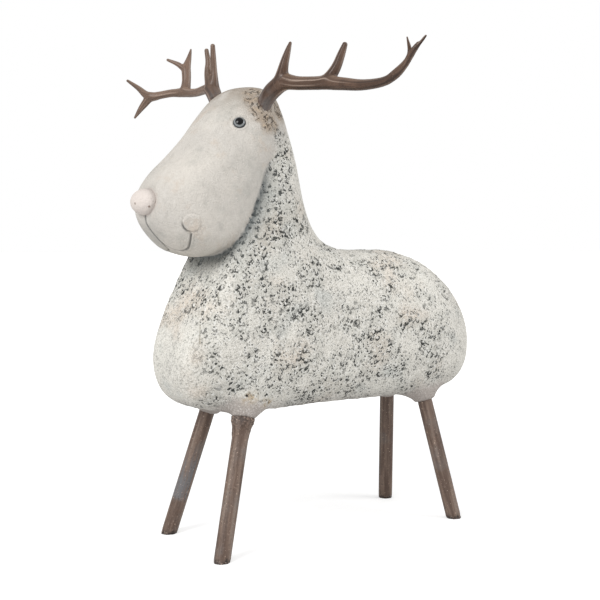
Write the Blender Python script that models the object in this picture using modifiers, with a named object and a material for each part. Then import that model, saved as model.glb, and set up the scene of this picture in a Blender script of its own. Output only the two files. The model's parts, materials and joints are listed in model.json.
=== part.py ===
"""Reindeer figurine: a cast body and head on four rods, with two cast antlers and two glass eyes.

The animal faces -Y, its left side is +X, and its feet stand on the floor at z = 0.
All sizes are in metres.
"""

import math

import bmesh
import bpy
from mathutils import Matrix, Vector
from mathutils.bvhtree import BVHTree

# Overall sizes of the casting
BODY_LENGTH = 0.277
BODY_WIDTH = 0.089
BODY_HEIGHT = 0.2415
BELLY_HEIGHT = 0.101

# Rods that are the legs, and the sockets that they stand in
ROD_DIAMETER = 0.012
ROD_CLEARANCE = 0.0003
SOCKET_DEPTH = 0.020
SOCKET_WALL = 0.0022
SOCKET_FLARE = 0.0045
SOCKET_SKIRT = 0.006
SOCKET_HEIGHT = 0.022

# Small forms of the face
NOSE_HALF_SIZES = (0.0142, 0.0093, 0.0092)
CHEEK_RADIUS = 0.0066
CHEEK_RISE = 0.0011
MOUTH_GROOVE_RADIUS = 0.0009
EYE_RADIUS = 0.0054
EYE_SINK = 0.0024
EYE_CLEARANCE = 0.0003

# Antlers: from the middle of the head to the tip of the left one, and the round feet in the crown
ANTLER_LENGTH = 0.180
ANTLER_FOOT_RADIUS = 0.0058
ANTLER_FOOT_DEPTH = 0.011
ANTLER_CLEARANCE = 0.0004

# The casting's form is drawn on a grid of this many squares: long, wide and high above the belly
GRID_LENGTH = 277
GRID_WIDTH = 89
GRID_HEIGHT = 241.5

# Trunk ribs from the rump to the inside of the head. Each runs from a point on the back or the
# nape to a point on the belly or the chest, both as (along, up), with its half width and how
# square it is at either end, where 2 is an ellipse.
RUMP = (146, 37)
TRUNK_RIBS = [
    ((144.5, 49), (144, 26), 14, 2.2, 2.2),
    ((140, 66), (139, 14), 26, 2.3, 2.4),
    ((130, 83), (129, 6), 34.5, 2.4, 2.6),
    ((114, 99), (113, 1.5), 40.5, 2.5, 2.8),
    ((92, 112.5), (90, 0), 43.5, 2.6, 3.0),
    ((65, 119.5), (61, 0), 44.5, 2.6, 3.2),
    ((38, 119.5), (28, 0), 44.5, 2.6, 3.3),
    ((16, 121), (-10, 0), 44.5, 2.5, 3.4),
    ((-3, 129), (-50, -1), 44.5, 2.4, 3.5),
    ((-13, 142), (-92, 0), 44.5, 2.4, 3.6),
    ((-19, 159), (-121, 10), 44, 2.4, 3.7),
    ((-23, 177), (-130, 35), 43, 2.4, 3.7),
    ((-27, 195), (-121, 67), 41, 2.4, 3.4),
    ((-31, 209), (-106, 95), 38.5, 2.4, 3.0),
    ((-37, 216), (-92, 118), 36, 2.3, 2.6),
    ((-46, 219), (-84, 150), 31, 2.2, 2.2),
]
NECK_END = (-63, 196)

# Head ribs from the crown to the chin, each from the nape or the crease to the forehead or muzzle
CROWN = (-62, 241.5)
HEAD_RIBS = [
    ((-51, 239.5), (-76, 239), 18, 2.0, 2.0),
    ((-42, 233), (-87.5, 231), 31, 2.0, 2.0),
    ((-38, 222), (-99, 217), 37.5, 2.1, 2.1),
    ((-34.4, 208), (-110.5, 202), 40.4, 2.4, 2.15),
    ((-43, 196), (-123, 188), 42, 2.5, 2.25),
    ((-53.5, 182), (-136, 175), 42.5, 2.8, 2.35),
    ((-59, 168), (-145, 162), 42.5, 3.1, 2.35),
    ((-65.5, 153), (-147.5, 149), 41.5, 3.2, 2.3),
    ((-73, 136), (-144.5, 139.5), 39.5, 3.2, 2.3),
    ((-84.5, 123.5), (-138, 131), 36, 2.8, 2.25),
    ((-96, 117), (-130, 123.5), 29, 2.4, 2.2),
    ((-104, 114.3), (-121, 118.5), 17, 2.2, 2.2),
]
CHIN = (-113, 115.5)

# Places on the face as (across, along, up), each set onto the surface of the head
NOSE = (0, -145, 154)
CHEEK = (36, -126, 138.5)
EYE = (36, -88, 211)
LIP_CLEFT = [(0, -145.5, 142.5), (0, -142, 137), (0, -136.5, 130), (0, -132, 124.5)]
SMILE = [
    (0, -133, 125.5),
    (1.5, -129.5, 122),
    (5, -126, 119.5),
    (11, -123.5, 118.5),
    (21, -123, 120),
    (29, -124.5, 124.5),
    (33.5, -125.5, 130.5),
]

# Feet on the floor as (across, along) on the grid, how far each rod leans as it rises, and how
# many squares its socket hangs below the belly
LEGS = {
    "leg_front_left": ((46, -109), (-0.160, 0.272), 3),
    "leg_front_right": ((-43, -107), (0.160, 0.272), 6),
    "leg_back_left": ((44, 110), (-0.213, -0.152), 5),
    "leg_back_right": ((-42.5, 106), (0.213, -0.152), 5),
}

# Antler branches as (outward, along, up, radius), measured from the middle of the head. The up
# values count from the belly, as the rest of the casting's do. A tine starts inside its beam.
ANTLER_GRID = 180
LEFT_ANTLER = {
    "beam": [(33, -67.4, 222, 5.8), (37, -66, 228, 5.8), (45, -65, 234, 6.1), (56, -62, 238, 5.5),
             (70, -59, 237, 4.9), (87, -53, 235, 4.6), (105, -48, 232, 4.4), (124, -45, 229, 3.7),
             (143, -43, 228.5, 3.4), (156, -42, 231, 3.0), (165, -41, 237, 2.4),
             (172, -40, 244, 1.9), (180, -37, 253, 0.7)],
    "brow_tine": [(53, -64, 237, 5.0), (57, -64, 249, 3.5), (59, -62, 259, 2.2), (60, -60, 266, 0.8)],
    "middle_tine": [(92, -51, 234, 4.5), (97, -47, 244, 3.4), (99, -44, 253, 2.6),
                    (101, -42, 261, 0.9)],
    "inner_tine": [(154, -43, 230, 2.4), (161, -39, 237, 2.2), (164, -37, 244, 1.7),
                   (166, -41, 254, 0.6)],
    "outer_tine": [(168, -41, 240, 1.8), (173, -41, 245, 1.4), (174, -38, 250, 0.6)],
}
RIGHT_ANTLER = {
    "beam": [(33, -65, 228, 5.8), (38, -66, 236, 5.8), (46, -66, 244, 5.4), (60, -63, 248, 3.9),
             (80, -62, 248, 3.4), (100, -63, 250, 3.7), (112, -68, 251, 3.3), (122, -74, 250, 3.2),
             (131, -80, 249, 3.5), (142, -84, 259, 2.7), (152, -91, 265, 0.9)],
    "front_tine": [(45, -66, 242, 5.2), (50, -67, 258, 4.4), (51, -66, 268, 3.2),
                   (52, -67, 279, 0.9)],
    "brow_tine": [(44, -65, 242, 4.6), (44, -65, 259, 3.5), (43, -66, 270, 2.9),
                  (42, -67, 281, 0.9)],
    "middle_tine": [(99, -62, 250, 4.0), (101, -60, 261, 3.7), (103, -59, 270, 3.5),
                    (104, -56, 280, 2.1), (104, -54, 288, 0.7)],
    "middle_fork": [(103, -59, 268, 2.8), (108, -64, 274.5, 2.1), (115, -71, 279, 0.8)],
    "outer_tine": [(130, -79, 249, 3.4), (138, -85, 241, 2.8), (144, -88, 232, 0.8)],
}

# How finely the round forms are divided
RIB_SIDES = 28
RINGS_PER_RIB = 2
BRANCH_STEPS = 2
BRANCH_RESOLUTION = 3
ROD_SIDES = 20
SKIRT_STEPS = 4
WELD_DISTANCE = 0.000005

CASTING_COLOUR = (0.56, 0.55, 0.51, 1.0)
ANTLER_COLOUR = (0.13, 0.085, 0.060, 1.0)
ROD_COLOUR = (0.095, 0.058, 0.040, 1.0)
EYE_COLOUR = (0.006, 0.006, 0.007, 1.0)


def clear_scene():
    for thing in list(bpy.data.objects):
        bpy.data.objects.remove(thing, do_unlink=True)


def new_collection(name):
    collection = bpy.data.collections.new(name)
    bpy.context.scene.collection.children.link(collection)
    return collection


def new_material(name, colour, roughness, metallic=0.0):
    material = bpy.data.materials.new(name)
    material.use_nodes = True
    shader = material.node_tree.nodes["Principled BSDF"]
    shader.inputs["Base Color"].default_value = colour
    shader.inputs["Roughness"].default_value = roughness
    shader.inputs["Metallic"].default_value = metallic
    material.diffuse_color = colour
    return material


def add_object(name, mesh, collection):
    thing = bpy.data.objects.new(name, mesh)
    collection.objects.link(thing)
    return thing


def add_tool(name, mesh):
    """A solid that only shapes another one."""
    tool = add_object(name, mesh, TOOLS)
    tool.hide_render = True
    tool.display_type = 'WIRE'
    return tool


def mesh_from(form, name):
    mesh = bpy.data.meshes.new(name)
    bmesh.ops.recalc_face_normals(form, faces=form.faces)
    form.to_mesh(mesh)
    form.free()
    mesh.shade_smooth()
    return mesh


def on_grid(across, along, up):
    """A point of the casting, from its squares on the design grid."""
    return Vector((
        across * BODY_WIDTH / GRID_WIDTH,
        along * BODY_LENGTH / GRID_LENGTH,
        BELLY_HEIGHT + up * BODY_HEIGHT / GRID_HEIGHT,
    ))


def smooth_path(points, steps):
    """Points on a Catmull-Rom curve through the given rows of numbers."""
    rows = [tuple(2 * a - b for a, b in zip(points[0], points[1]))]
    rows += [tuple(point) for point in points]
    rows.append(tuple(2 * a - b for a, b in zip(points[-1], points[-2])))
    path = []
    for index in range(1, len(rows) - 2):
        before, start, end, after = rows[index - 1:index + 3]
        for step in range(steps):
            t = step / steps
            path.append(tuple(
                0.5 * (2 * b + (c - a) * t + (2 * a - 5 * b + 4 * c - d) * t ** 2
                       + (3 * b - a - 3 * c + d) * t ** 3)
                for a, b, c, d in zip(before, start, end, after)))
    path.append(tuple(points[-1]))
    return path


def rounded(value, squareness):
    return math.copysign(abs(value) ** (2 / squareness), value)


def rib_ring(rib):
    """One closed ring of a loft, a superellipse whose two ends may differ in squareness."""
    inner_along, inner_up, outer_along, outer_up, half_width, inner_square, outer_square = rib
    middle = ((inner_along + outer_along) / 2, (inner_up + outer_up) / 2)
    half = ((outer_along - inner_along) / 2, (outer_up - inner_up) / 2)
    ring = []
    for side in range(RIB_SIDES):
        angle = 2 * math.pi * side / RIB_SIDES
        squareness = outer_square if math.cos(angle) > 0 else inner_square
        reach = rounded(math.cos(angle), squareness)
        across = half_width * rounded(math.sin(angle), squareness)
        ring.append(on_grid(across, middle[0] + half[0] * reach, middle[1] + half[1] * reach))
    return ring


def rib_loft(first_pole, ribs, last_pole):
    """A closed skin over ribs, pulled to a point at both ends."""
    rows = [(*inner, *outer, width, square_in, square_out)
            for inner, outer, width, square_in, square_out in ribs]
    start = (*first_pole, *first_pole, 0, *rows[0][-2:])
    end = (*last_pole, *last_pole, 0, *rows[-1][-2:])
    path = smooth_path([start] + rows + [end], RINGS_PER_RIB)
    form = bmesh.new()
    rings = [[form.verts.new(point) for point in rib_ring(row)] for row in path[1:-1]]
    for ring, following in zip(rings, rings[1:]):
        for side in range(RIB_SIDES):
            other = (side + 1) % RIB_SIDES
            form.faces.new((ring[side], ring[other], following[other], following[side]))
    for pole, ring in ((first_pole, rings[0]), (last_pole, rings[-1])):
        tip = form.verts.new(on_grid(0, *pole))
        for side in range(RIB_SIDES):
            form.faces.new((ring[side], ring[(side + 1) % RIB_SIDES], tip))
    return form


def tube(name, points, sides_each_quarter, cyclic=False):
    """A round branch whose points are (place, radius), made a mesh with its caps welded on."""
    curve = bpy.data.curves.new(name, 'CURVE')
    curve.dimensions = '3D'
    curve.bevel_depth = 1.0
    curve.bevel_resolution = sides_each_quarter - 2
    curve.use_fill_caps = True
    spline = curve.splines.new('POLY')
    spline.points.add(len(points) - 1)
    for knot, (place, radius) in zip(spline.points, points):
        knot.co = (*place, 1.0)
        knot.radius = radius
    guide = add_tool(name, curve)
    bpy.context.view_layer.update()
    evaluated = guide.evaluated_get(bpy.context.evaluated_depsgraph_get())
    mesh = bpy.data.meshes.new_from_object(evaluated)
    form = bmesh.new()
    form.from_mesh(mesh)
    bmesh.ops.remove_doubles(form, verts=form.verts, dist=WELD_DISTANCE)
    form.transform(guide.matrix_world)
    bpy.data.objects.remove(guide, do_unlink=True)
    return mesh_from(form, name)


def ball(radius, place):
    form = bmesh.new()
    bmesh.ops.create_uvsphere(form, u_segments=16, v_segments=10, radius=radius)
    bmesh.ops.translate(form, verts=form.verts, vec=place)
    return form


def turn_to(form, direction, place):
    """Turn a form from +Z to a direction and set it at a place."""
    turn = Vector((0, 0, 1)).rotation_difference(direction).to_matrix()
    bmesh.ops.transform(form, verts=form.verts, matrix=turn.to_4x4())
    bmesh.ops.translate(form, verts=form.verts, vec=place)
    return form


def cylinder(radius, depth, sides):
    """A cylinder from z = 0 up to its depth."""
    form = bmesh.new()
    bmesh.ops.create_cone(form, cap_ends=True, segments=sides, radius1=radius, radius2=radius,
                          depth=depth)
    bmesh.ops.translate(form, verts=form.verts, vec=(0, 0, depth / 2))
    return form


def bore_cutter(radius, depth):
    """A cylinder turned by half a side, so that its corners miss those of what it goes round."""
    form = cylinder(radius, depth, ROD_SIDES)
    half_side = Matrix.Rotation(math.pi / ROD_SIDES, 3, 'Z')
    bmesh.ops.rotate(form, verts=form.verts, cent=(0, 0, 0), matrix=half_side)
    return form


def combine(target, tool, operation):
    modifier = target.modifiers.new(tool.name, 'BOOLEAN')
    modifier.operation = operation
    modifier.solver = 'EXACT'
    modifier.object = tool


def settle(thing, sharp_angle):
    """Turn an object's modifiers into its own mesh and mark the sharp edges."""
    bpy.context.view_layer.update()
    evaluated = thing.evaluated_get(bpy.context.evaluated_depsgraph_get())
    mesh = bpy.data.meshes.new_from_object(evaluated)
    form = bmesh.new()
    form.from_mesh(mesh)
    bmesh.ops.remove_doubles(form, verts=form.verts, dist=WELD_DISTANCE)
    bmesh.ops.dissolve_degenerate(form, edges=form.edges, dist=WELD_DISTANCE)
    bmesh.ops.triangulate(form, faces=form.faces)
    form.to_mesh(mesh)
    form.free()
    mesh.materials.clear()
    mesh.shade_smooth()
    mesh.set_sharp_from_angle(angle=math.radians(sharp_angle))
    thing.modifiers.clear()
    thing.data = mesh


def lean_direction(lean):
    return Vector((lean[0], lean[1], 1)).normalized()


def standing_place(foot):
    """The middle of a foot on the floor."""
    place = on_grid(*foot, 0)
    return Vector((place.x, place.y, 0))


def socket_end(foot, lean, drop):
    """Where a rod leaves its socket, below the belly."""
    height = on_grid(0, 0, -drop).z
    return standing_place(foot) + Vector((lean[0], lean[1], 1)) * height


def leg_socket(name, foot, lean, drop):
    """A skirt round the rod, turned from its profile, that widens into the belly."""
    neck = ROD_DIAMETER / 2 + SOCKET_WALL
    profile = [(0, SOCKET_HEIGHT), (neck + SOCKET_FLARE / 2, SOCKET_HEIGHT)]
    for step in range(SKIRT_STEPS + 1):
        share = 1 - step / SKIRT_STEPS
        profile.append((neck + SOCKET_FLARE * share ** 0.7, SOCKET_SKIRT * share))
    profile.append((0, 0))
    form = bmesh.new()
    knots = [form.verts.new((radius, 0, height)) for radius, height in profile]
    for knot, following in zip(knots, knots[1:]):
        form.edges.new((knot, following))
    outline = bpy.data.meshes.new(name)
    form.to_mesh(outline)
    form.free()
    turned = add_tool(name, outline)
    screw = turned.modifiers.new("turn", 'SCREW')
    screw.steps = screw.render_steps = ROD_SIDES
    screw.use_merge_vertices = True
    screw.merge_threshold = WELD_DISTANCE
    settle(turned, 60)
    form = bmesh.new()
    form.from_mesh(turned.data)
    turn_to(form, lean_direction(lean), socket_end(foot, lean, drop))
    turned.data = mesh_from(form, name)
    return turned


def seat_on(skin, place):
    """The nearest point of a skin to a place on the design grid, and the way it faces."""
    location, normal, _, _ = skin.find_nearest(on_grid(*place))
    return location, normal


def mirrored(place, side):
    return (place[0] * side, place[1], place[2])


def antler_rows(points, side):
    """An antler's branch as places and radii, on the side that it grows."""
    unit = ANTLER_LENGTH / ANTLER_GRID
    rows = []
    for outward, along, up, radius in smooth_path(points, BRANCH_STEPS):
        middle = on_grid(0, along, up)
        rows.append(((side * outward * unit, middle.y, middle.z), radius * unit))
    return rows


def antler_foot(branches, side):
    """The start of an antler and the direction of its foot into the crown."""
    rows = antler_rows(branches["beam"], side)
    start = Vector(rows[0][0])
    inward = (start - Vector(rows[BRANCH_STEPS][0])).normalized()
    return start, inward


def build_antler(name, branches, side, material):
    """A beam with its tines, on a straight round foot that is set into the crown."""
    start, inward = antler_foot(branches, side)
    beam_rows = antler_rows(branches["beam"], side)
    foot = [(start + inward * ANTLER_FOOT_DEPTH, ANTLER_FOOT_RADIUS),
            (start + inward * ANTLER_FOOT_DEPTH * 0.5, ANTLER_FOOT_RADIUS)]
    antler = add_object(name, tube(name, foot + beam_rows, BRANCH_RESOLUTION + 2), FIGURINE)
    for tine_name, points in branches.items():
        if tine_name == "beam":
            continue
        label = f"{name}_{tine_name}"
        tine = add_tool(label, tube(label, antler_rows(points, side), BRANCH_RESOLUTION + 2))
        combine(antler, tine, 'UNION')
    settle(antler, 50)
    antler.data.materials.append(material)
    return antler


def build_leg(name, foot, lean, drop, material):
    """A plain rod, cut flat where it stands on the floor."""
    direction = lean_direction(lean)
    top = socket_end(foot, lean, drop) + direction * (SOCKET_DEPTH - ROD_CLEARANCE)
    below = standing_place(foot) - direction * ROD_DIAMETER
    length = (top - below).length
    form = turn_to(cylinder(ROD_DIAMETER / 2, length, ROD_SIDES), direction, below)
    leg = add_object(name, mesh_from(form, name), FIGURINE)
    block = bmesh.new()
    bmesh.ops.create_cube(block, size=ROD_DIAMETER * 8)
    below_floor = standing_place(foot) - Vector((0, 0, ROD_DIAMETER * 4))
    bmesh.ops.translate(block, verts=block.verts, vec=below_floor)
    combine(leg, add_tool(f"{name}_floor", mesh_from(block, f"{name}_floor")), 'DIFFERENCE')
    settle(leg, 40)
    leg.data.materials.append(material)
    return leg


def build_eye(name, skin, side, material):
    """A glass bead, sunk into the face so that its front stands proud."""
    location, normal = seat_on(skin, mirrored(EYE, side))
    eye = add_object(name, mesh_from(ball(EYE_RADIUS, location - normal * EYE_SINK), name), FIGURINE)
    eye.data.materials.append(material)
    return eye


def carve_line(casting, skin, name, places):
    """A round groove along the skin through the given places."""
    line = [tuple(seat_on(skin, place)[0]) for place in places]
    rows = [(place, MOUTH_GROOVE_RADIUS) for place in smooth_path(line, 2)]
    combine(casting, add_tool(name, tube(name, rows, 3)), 'DIFFERENCE')


def add_face(casting, skin):
    """Nose ball, cheek discs, mouth groove and the sockets of the eyes."""
    carve_line(casting, skin, "lip_cleft", LIP_CLEFT)
    nose = turn_to(ball(1, (0, 0, 0)), Vector((1, 0, 0)), (0, 0, 0))
    bmesh.ops.scale(nose, verts=nose.verts, vec=NOSE_HALF_SIZES)
    bmesh.ops.translate(nose, verts=nose.verts, vec=on_grid(*NOSE))
    combine(casting, add_tool("nose", mesh_from(nose, "nose")), 'UNION')
    for side, label in ((1, "left"), (-1, "right")):
        location, normal = seat_on(skin, mirrored(CHEEK, side))
        disc = cylinder(CHEEK_RADIUS, CHEEK_RADIUS, 24)
        bmesh.ops.translate(disc, verts=disc.verts, vec=(0, 0, CHEEK_RISE - CHEEK_RADIUS))
        turn_to(disc, normal, location)
        combine(casting, add_tool(f"cheek_{label}", mesh_from(disc, f"cheek_{label}")), 'UNION')
    for side, label in ((1, "left"), (-1, "right")):
        location, normal = seat_on(skin, mirrored(EYE, side))
        hollow = ball(EYE_RADIUS + EYE_CLEARANCE, location - normal * EYE_SINK)
        combine(casting, add_tool(f"eye_hollow_{label}", mesh_from(hollow, "eye_hollow")),
                'DIFFERENCE')
        carve_line(casting, skin, f"smile_{label}", [mirrored(point, side) for point in SMILE])


def add_leg_sockets(casting):
    """A skirt for each rod, with the blind bore that the rod stands in."""
    for name, (foot, lean, drop) in LEGS.items():
        combine(casting, leg_socket(f"{name}_socket", foot, lean, drop), 'UNION')
    for name, (foot, lean, drop) in LEGS.items():
        direction = lean_direction(lean)
        mouth = socket_end(foot, lean, drop) - direction * SOCKET_WALL
        bore = bore_cutter(ROD_DIAMETER / 2 + ROD_CLEARANCE, SOCKET_DEPTH + SOCKET_WALL)
        turn_to(bore, direction, mouth)
        combine(casting, add_tool(f"{name}_bore", mesh_from(bore, f"{name}_bore")), 'DIFFERENCE')


def add_antler_sockets(casting):
    """A blind bore in the crown for the foot of each antler."""
    for name, branches, side in ANTLERS:
        start, inward = antler_foot(branches, side)
        depth = ANTLER_FOOT_DEPTH + ANTLER_CLEARANCE
        bore = bore_cutter(ANTLER_FOOT_RADIUS + ANTLER_CLEARANCE, depth * 2)
        bmesh.ops.translate(bore, verts=bore.verts, vec=(0, 0, -depth))
        turn_to(bore, inward, start)
        combine(casting, add_tool(f"{name}_bore", mesh_from(bore, f"{name}_bore")), 'DIFFERENCE')


def build_casting(material):
    """Body, neck and head as one casting."""
    head_form = rib_loft(CROWN, HEAD_RIBS, CHIN)
    bmesh.ops.recalc_face_normals(head_form, faces=head_form.faces)
    skin = BVHTree.FromBMesh(head_form)
    casting = add_object("body", mesh_from(rib_loft(RUMP, TRUNK_RIBS, NECK_END), "body"), FIGURINE)
    combine(casting, add_tool("head", mesh_from(head_form, "head")), 'UNION')
    add_leg_sockets(casting)
    add_face(casting, skin)
    add_antler_sockets(casting)
    settle(casting, 45)
    casting.data.materials.append(material)
    return casting, skin


def centre_on_origin(things):
    """Move everything so that the origin lies on the floor under the middle of the whole."""
    corners = [thing.matrix_world @ vertex.co for thing in things for vertex in thing.data.vertices]
    middle = [(min(c[axis] for c in corners) + max(c[axis] for c in corners)) / 2 for axis in (0, 1)]
    for thing in things:
        thing.location.x -= middle[0]
        thing.location.y -= middle[1]


clear_scene()
FIGURINE = new_collection("reindeer_figurine")
TOOLS = new_collection("shaping_tools")
ANTLERS = [("antler_left", LEFT_ANTLER, 1), ("antler_right", RIGHT_ANTLER, -1)]


def main():
    casting_material = new_material("casting", CASTING_COLOUR, 0.85)
    antler_material = new_material("antler", ANTLER_COLOUR, 0.42)
    rod_material = new_material("rod", ROD_COLOUR, 0.55)
    eye_material = new_material("eye_glass", EYE_COLOUR, 0.05)
    casting, skin = build_casting(casting_material)
    things = [casting]
    for name, branches, side in ANTLERS:
        things.append(build_antler(name, branches, side, antler_material))
    for name, side in (("eye_left", 1), ("eye_right", -1)):
        things.append(build_eye(name, skin, side, eye_material))
    for name, (foot, lean, drop) in LEGS.items():
        things.append(build_leg(name, foot, lean, drop, rod_material))
    centre_on_origin(things)


main()
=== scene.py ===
import json
import math

import bmesh
import bpy
import numpy as np
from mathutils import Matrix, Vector
from mathutils.bvhtree import BVHTree
from numpy.linalg import norm


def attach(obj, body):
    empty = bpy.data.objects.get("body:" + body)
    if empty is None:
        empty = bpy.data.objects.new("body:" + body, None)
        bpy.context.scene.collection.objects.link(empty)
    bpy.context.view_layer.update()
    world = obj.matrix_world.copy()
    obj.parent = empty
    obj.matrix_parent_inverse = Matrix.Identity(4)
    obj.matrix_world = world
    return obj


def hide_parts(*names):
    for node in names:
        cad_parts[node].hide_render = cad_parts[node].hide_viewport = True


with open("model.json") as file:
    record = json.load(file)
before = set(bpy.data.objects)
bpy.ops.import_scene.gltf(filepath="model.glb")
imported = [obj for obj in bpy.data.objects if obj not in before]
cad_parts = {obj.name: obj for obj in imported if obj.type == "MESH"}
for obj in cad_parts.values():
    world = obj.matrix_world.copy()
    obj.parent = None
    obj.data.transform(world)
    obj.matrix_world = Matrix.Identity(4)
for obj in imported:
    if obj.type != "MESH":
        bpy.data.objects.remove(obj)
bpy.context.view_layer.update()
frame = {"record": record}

MM = 0.001

# The part's own frame, from the foot that stands at this place before the model is centred
FRONT_LEFT_FOOT = (46, -109)
BELLY = 101
mount = next(m for m in frame["record"]["mounts"] if m["name"] == "foot_front_left")
SHIFT = np.array([mount["pos_m"][0] / MM - FRONT_LEFT_FOOT[0],
                  mount["pos_m"][1] / MM - FRONT_LEFT_FOOT[1], 0.0])

# Trunk and head as ribs in millimetres, the same named values as the part's own solids
RUMP = (146, 37)
TRUNK_RIBS = [
    ((144.5, 49), (144, 26), 14, 2.2, 2.2),
    ((140, 66), (139, 14), 26, 2.3, 2.4),
    ((130, 83), (129, 6), 34.5, 2.4, 2.6),
    ((114, 99), (113, 1.5), 40.5, 2.5, 2.8),
    ((92, 112.5), (90, 0), 43.5, 2.6, 3.0),
    ((65, 119.5), (61, 0), 44.5, 2.6, 3.2),
    ((38, 119.5), (28, 0), 44.5, 2.6, 3.3),
    ((16, 121), (-10, 0), 44.5, 2.5, 3.4),
    ((-3, 129), (-50, -1), 44.5, 2.4, 3.5),
    ((-13, 142), (-92, 0), 44.5, 2.4, 3.6),
    ((-19, 159), (-121, 10), 44, 2.4, 3.7),
    ((-23, 177), (-130, 35), 43, 2.4, 3.7),
    ((-27, 195), (-121, 67), 41, 2.4, 3.4),
    ((-31, 209), (-106, 95), 38.5, 2.4, 3.0),
    ((-37, 216), (-92, 118), 36, 2.3, 2.6),
    ((-46, 219), (-84, 150), 31, 2.2, 2.2),
]
NECK_END = (-63, 196)
CROWN = (-62, 241.5)
HEAD_RIBS = [
    ((-51, 239.5), (-76, 239), 18, 2.0, 2.0),
    ((-42, 233), (-87.5, 231), 31, 2.0, 2.0),
    ((-38, 222), (-99, 217), 37.5, 2.1, 2.1),
    ((-34.4, 208), (-110.5, 202), 40.4, 2.4, 2.15),
    ((-43, 196), (-123, 188), 42, 2.5, 2.25),
    ((-53.5, 182), (-136, 175), 42.5, 2.8, 2.35),
    ((-59, 168), (-145, 162), 42.5, 3.1, 2.35),
    ((-65.5, 153), (-147.5, 149), 41.5, 3.2, 2.3),
    ((-73, 136), (-144.5, 139.5), 39.5, 3.2, 2.3),
    ((-84.5, 123.5), (-138, 131), 36, 2.8, 2.25),
    ((-96, 117), (-130, 123.5), 29, 2.4, 2.2),
    ((-104, 114.3), (-121, 118.5), 17, 2.2, 2.2),
]
CHIN = (-113, 115.5)
NOSE = (0, -144.4, 154)
NOSE_HALF_SIZES = (15.2, 9.9, 9.5)
CHEEK = (36, -126, 138.5)
CHEEK_RADIUS = 6.0
EYE = (36, -88, 211)
EYE_RADIUS = 5.0
EYE_SINK = 2.2
LIP_CLEFT = [(0, -145.5, 142.5), (0, -142, 137), (0, -136.5, 130), (0, -132, 124.5)]
SMILE = [(0, -133, 125.5), (1.5, -129.5, 121.5), (5, -125.5, 118.3), (11, -122.8, 117.3),
         (21, -122.5, 119), (29, -124.5, 124), (33.5, -125.5, 130.5)]

# Feet, leans and socket drops of the four rods
LEGS = {
    "leg_front_left": ((46.0, -109.0), (-0.160, 0.272), 3),
    "leg_front_right": ((-43.0, -107.0), (0.160, 0.272), 6),
    "leg_back_left": ((44.0, 110.0), (-0.213, -0.152), 5),
    "leg_back_right": ((-42.5, 106.0), (0.213, -0.152), 5),
}
ROD_RADIUS = 6
SOCKET_DEPTH = 19.7
SOCKET_WALL = 2.2
SKIRT_ALONG = 11
SKIRT_ACROSS = 4.5
SKIRT_HEIGHT = 8
SOCKET_HEIGHT = 22

# Antler branches as (outward, along, up, radius)
LEFT_ANTLER = {
    "beam": [(33, -67.4, 222, 5.8), (37, -66, 228, 5.8), (45, -65, 234, 6.1), (56, -62, 238, 5.5),
             (70, -59, 236, 4.8), (87, -53, 234.3, 4.6), (105, -48, 232, 4.4), (124, -45, 229, 3.7),
             (143, -43, 228.5, 3.1), (156, -42, 231, 2.6), (165, -41, 237, 2.1),
             (172, -40, 244, 1.7), (180, -37, 253, 0.7)],
    "brow_tine": [(53, -64, 237, 5.0), (57, -64, 249, 3.5), (59, -62, 259, 2.3), (60, -60, 266, 1.1)],
    "middle_tine": [(92, -51, 234, 4.5), (97, -47, 244, 3.5), (99, -44, 253, 2.8),
                    (101, -42, 260.5, 1.8)],
    "inner_tine": [(154, -43, 230, 2.4), (161, -39, 237, 2.2), (164, -37, 244, 1.7),
                   (166, -41, 254, 0.6)],
    "outer_tine": [(168, -41, 240, 1.8), (173, -41, 245, 1.4), (174, -38, 250, 0.6)],
}
RIGHT_ANTLER = {
    "beam": [(33, -65, 228, 5.8), (38, -66, 236, 5.8), (46, -66, 244, 5.4), (60, -63, 248, 3.9),
             (80, -62, 248, 3.4), (100, -63, 250, 3.7), (112, -68, 251, 3.3), (122, -74, 250, 3.2),
             (131, -80, 249, 3.5), (142, -85, 257.5, 2.2), (152, -91, 265, 1.2)],
    "front_tine": [(45, -66, 242, 5.0), (50, -67, 258, 2.9), (51.5, -66, 268, 2.2),
                   (52.5, -67, 278, 1.7)],
    "brow_tine": [(44, -65, 242, 4.6), (43.5, -65, 259, 2.5), (43, -66, 270, 2.3),
                  (42, -67, 280, 1.8)],
    "middle_tine": [(99, -62, 250, 4.0), (101, -60, 261, 3.7), (103, -59, 270, 3.5),
                    (104, -56, 280, 2.1), (104, -54, 288, 0.7)],
    "middle_fork": [(103, -59, 268, 2.8), (108, -64, 274.5, 2.0), (115, -71, 279, 1.2)],
    "outer_tine": [(130, -79, 249, 3.4), (137, -84, 241, 2.6), (144, -88, 232, 0.9)],
}

SKIN_SIDES = 120
SKIN_RINGS_PER_RIB = 6
CASTING_VOXEL = 2.1
ANTLER_VOXEL = 0.5

# Rounds of smoothing
SKIN_ROUNDS = 3
NAPE_ROUNDS = 45
FILLET_ROUNDS = 34
DETAIL_ROUNDS = 4
WEB_ROUNDS = 30


def at(across, along, up):
    """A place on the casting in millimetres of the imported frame."""
    return np.array([across, along, BELLY + up], float) + SHIFT


def smooth_path(points, steps):
    """Points on a Catmull-Rom curve through the given rows of numbers."""
    rows = np.array(points, float)
    rows = np.vstack([2 * rows[0] - rows[1], rows, 2 * rows[-1] - rows[-2]])
    path = []
    for index in range(1, len(rows) - 2):
        before, start, end, after = rows[index - 1:index + 3]
        for t in np.arange(steps) / steps:
            path.append(0.5 * (2 * start + (end - before) * t
                               + (2 * before - 5 * start + 4 * end - after) * t ** 2
                               + (3 * start - before - 3 * end + after) * t ** 3))
    path.append(rows[-2])
    return np.array(path)


def rounded(value, squareness):
    return np.sign(value) * np.abs(value) ** (2 / squareness)


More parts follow.
